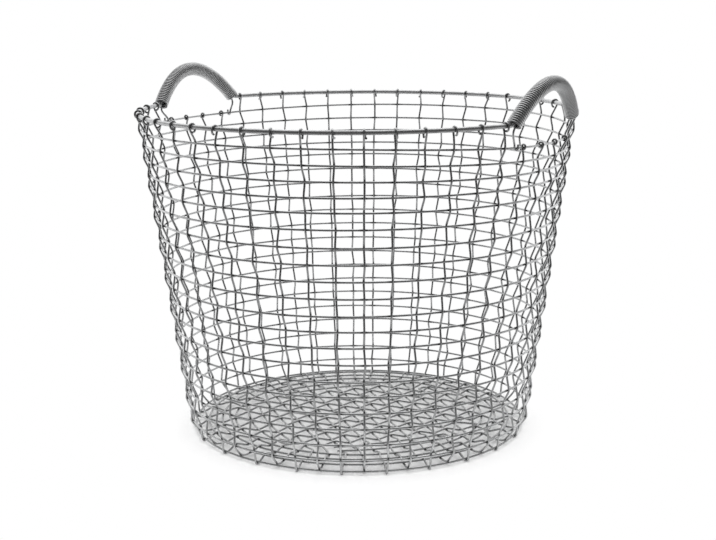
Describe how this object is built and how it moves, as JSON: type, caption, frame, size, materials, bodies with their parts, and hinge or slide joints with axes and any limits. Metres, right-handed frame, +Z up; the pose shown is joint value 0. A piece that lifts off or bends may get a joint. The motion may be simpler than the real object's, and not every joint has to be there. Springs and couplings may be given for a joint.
{
  "type": "steel wire basket",
  "caption": "Round open basket of woven galvanised wire: a base net's wires climb the wall through hoops and curl round a rim that arches into coil-sleeved handles.",
  "frame": {"origin": "centre of the basket on the ground plane, under the wires that it stands on", "axes": "+Z up along the basket's axis, +X through a handle"},
  "size_m": [0.5174, 0.5149, 0.421],
  "materials": {
    "galvanised_wire": "satin galvanised steel wire",
    "coiled_sleeve": "satin close-wound steel wire"
  },
  "bodies": {
    "root": {"rim_wire": "galvanised_wire", "wall_hoop_01": "galvanised_wire", "wall_hoop_02": "galvanised_wire", "wall_hoop_03": "galvanised_wire", "wall_hoop_04": "galvanised_wire", "wall_hoop_05": "galvanised_wire", "wall_hoop_06": "galvanised_wire", "wall_hoop_07": "galvanised_wire", "wall_hoop_08": "galvanised_wire", "wall_hoop_09": "galvanised_wire", "wall_hoop_10": "galvanised_wire", "wall_hoop_11": "galvanised_wire", "wall_hoop_12": "galvanised_wire", "wall_hoop_13": "galvanised_wire", "wall_hoop_14": "galvanised_wire", "wall_hoop_15": "galvanised_wire", "wall_hoop_16": "galvanised_wire", "wall_hoop_17": "galvanised_wire", "wall_hoop_18": "galvanised_wire", "wall_hoop_19": "galvanised_wire", "wall_hoop_20": "galvanised_wire", "base_ring": "galvanised_wire", "base_hoop_01": "galvanised_wire", "base_hoop_02": "galvanised_wire", "base_hoop_03": "galvanised_wire", "base_short_rows_01": "galvanised_wire", "base_short_rows_02": "galvanised_wire", "base_short_rows_03": "galvanised_wire", "base_short_rows_04": "galvanised_wire", "lengthwise_wire_01": "galvanised_wire", "lengthwise_wire_02": "galvanised_wire", "lengthwise_wire_03": "galvanised_wire", "lengthwise_wire_04": "galvanised_wire", "lengthwise_wire_05": "galvanised_wire", "lengthwise_wire_06": "galvanised_wire", "lengthwise_wire_07": "galvanised_wire", "lengthwise_wire_08": "galvanised_wire", "lengthwise_wire_09": "galvanised_wire", "lengthwise_wire_10": "galvanised_wire", "lengthwise_wire_11": "galvanised_wire", "lengthwise_wire_12": "galvanised_wire", "crosswise_wire_01": "galvanised_wire", "crosswise_wire_02": "galvanised_wire", "crosswise_wire_03": "galvanised_wire", "crosswise_wire_04": "galvanised_wire", "crosswise_wire_05": "galvanised_wire", "crosswise_wire_06": "galvanised_wire", "crosswise_wire_07": "galvanised_wire", "crosswise_wire_08": "galvanised_wire", "crosswise_wire_09": "galvanised_wire", "crosswise_wire_10": "galvanised_wire", "crosswise_wire_11": "galvanised_wire", "crosswise_wire_12": "galvanised_wire", "handle_hook_wire_01": "galvanised_wire", "handle_hook_wire_02": "galvanised_wire", "handle_coil_01": "coiled_sleeve", "handle_coil_02": "coiled_sleeve"}
  },
  "joints": []
}
